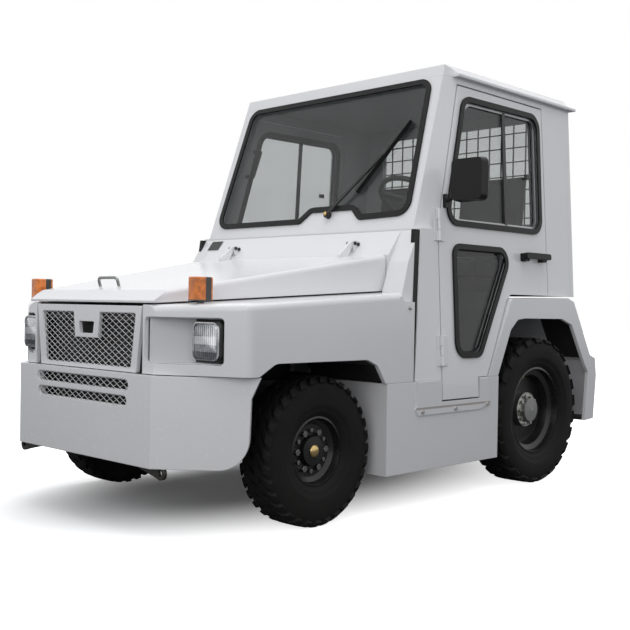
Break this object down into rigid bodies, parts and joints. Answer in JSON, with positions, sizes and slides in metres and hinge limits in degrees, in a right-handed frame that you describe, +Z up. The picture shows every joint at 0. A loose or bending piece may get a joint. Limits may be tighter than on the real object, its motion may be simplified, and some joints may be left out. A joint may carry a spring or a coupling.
{
  "type": "airport baggage tug",
  "caption": "Closed-cab airport baggage tug with hinged doors and bonnet, coupled front steering, turning wheels and a stepped rear tow hitch.",
  "frame": {"origin": "bottom centre of the whole box, on the ground; the one door mirror sets the vehicle's centre plane 87.5 mm towards -X", "axes": "+X to the vehicle's left, -Y forwards, +Z up"},
  "size_m": [1.7096, 2.86, 1.9599],
  "materials": {
    "paint_white": "gloss off-white enamel on sheet steel",
    "frame_black": "satin black chassis paint",
    "mesh_steel": "zinc-plated expanded steel",
    "lamp_glass": "clear moulded lens over a bright reflector in a black bucket",
    "amber": "amber moulded lens with a black middle band",
    "glass": "lightly tinted toughened glass",
    "rubber": "black extruded rubber",
    "black_plastic": "grained black plastic",
    "floor_grey": "grey painted steel plate",
    "seat_vinyl": "black vinyl over foam",
    "lamp_red": "red moulded lens",
    "cast_black": "black painted castings and forgings",
    "bare_steel": "zinc-plated steel",
    "tyre": "black industrial pneumatic tyre",
    "rim_black": "gloss black pressed steel"
  },
  "bodies": {
    "vehicle": {"chassis_frame": "frame_black", "side_boxes": "paint_white", "front_bumper": "paint_white", "grille_panel": "paint_white", "grille_mesh": "mesh_steel", "wings": "paint_white", "arch_liners": "frame_black", "headlamps": "lamp_glass", "indicators": "amber", "cowl": "paint_white", "cab_front": "paint_white", "cab_sides": "paint_white", "cab_rear": "paint_white", "roof": "paint_white", "cab_glass": "glass", "windscreen_seal": "rubber", "body_seal": "rubber", "rear_guard": "frame_black", "wiper": "black_plastic", "cab_floor": "floor_grey", "seat": "seat_vinyl", "dashboard": "black_plastic", "rear_fenders": "paint_white", "rear_body": "paint_white", "rear_lamps": "lamp_red", "tow_hitch": "cast_black", "hitch_pin": "bare_steel", "front_axle": "cast_black", "rear_axle": "cast_black", "engine": "cast_black"},
    "door_left": {"door_left": "paint_white", "door_glass_left": "glass", "door_fittings_left": "rubber", "mirror": "black_plastic"},
    "door_right": {"door_right": "paint_white", "door_glass_right": "glass", "door_fittings_right": "rubber"},
    "bonnet": {"bonnet": "paint_white"},
    "steering_wheel": {"steering_wheel": "black_plastic"},
    "knuckle_left": {"knuckle_left": "cast_black"},
    "knuckle_right": {"knuckle_right": "cast_black"},
    "tie_rod": {"tie_rod": "cast_black"},
    "wheel_front_left": {"tyre_front_left": "tyre", "wheel_front_left": "rim_black"},
    "wheel_front_right": {"tyre_front_right": "tyre", "wheel_front_right": "rim_black"},
    "wheel_rear_left": {"tyre_rear_left": "tyre", "wheel_rear_left": "rim_black"},
    "wheel_rear_right": {"tyre_rear_right": "tyre", "wheel_rear_right": "rim_black"}
  },
  "joints": [
    {"name": "door_left_hinge", "type": "hinge", "parent": "vehicle", "child": "door_left", "pos_m": [0.66286, -0.099, 0.9], "axis": [0.0557, 0, -0.9984], "range_deg": [0, 75]},
    {"name": "door_right_hinge", "type": "hinge", "parent": "vehicle", "child": "door_right", "pos_m": [-0.83786, -0.099, 0.9], "axis": [0.0557, 0, 0.9984], "range_deg": [0, 75]},
    {"name": "bonnet_hinge", "type": "hinge", "parent": "vehicle", "child": "bonnet", "pos_m": [-0.0875, -0.297, 1.142], "axis": [-1, 0, 0], "range_deg": [0, 55]},
    {"name": "steering", "type": "hinge", "parent": "vehicle", "child": "steering_wheel", "pos_m": [0.3125, 0.115, 1.372], "axis": [0, 0.5878, 0.809], "range_deg": [-540, 540]},
    {"name": "kingpin_left", "type": "hinge", "parent": "vehicle", "child": "knuckle_left", "pos_m": [0.4555, -0.803, 0.295], "axis": [0, 0, 1], "range_deg": [-35, 35]},
    {"name": "kingpin_right", "type": "hinge", "parent": "vehicle", "child": "knuckle_right", "pos_m": [-0.6305, -0.803, 0.295], "axis": [0, 0, 1], "range_deg": [-35, 35]},
    {"name": "tie_rod_end", "type": "hinge", "parent": "knuckle_left", "child": "tie_rod", "pos_m": [0.4555, -0.673, 0.219], "axis": [0, 0, 1], "range_deg": [-35, 35]},
    {"name": "spin_front_left", "type": "hinge", "parent": "knuckle_left", "child": "wheel_front_left", "pos_m": [0.5435, -0.803, 0.295], "axis": [-1, 0, 0], "continuous": true},
    {"name": "spin_front_right", "type": "hinge", "parent": "knuckle_right", "child": "wheel_front_right", "pos_m": [-0.7185, -0.803, 0.295], "axis": [-1, 0, 0], "continuous": true},
    {"name": "spin_rear_left", "type": "hinge", "parent": "vehicle", "child": "wheel_rear_left", "pos_m": [0.5765, 0.719, 0.36], "axis": [-1, 0, 0], "continuous": true},
    {"name": "spin_rear_right", "type": "hinge", "parent": "vehicle", "child": "wheel_rear_right", "pos_m": [-0.7515, 0.719, 0.36], "axis": [-1, 0, 0], "continuous": true}
  ],
  "couplings": [
    {"joint": "kingpin_left", "follows": "steering", "ratio": 0.064815},
    {"joint": "kingpin_right", "follows": "steering", "ratio": 0.064815},
    {"joint": "tie_rod_end", "follows": "steering", "ratio": -0.064815}
  ]
}
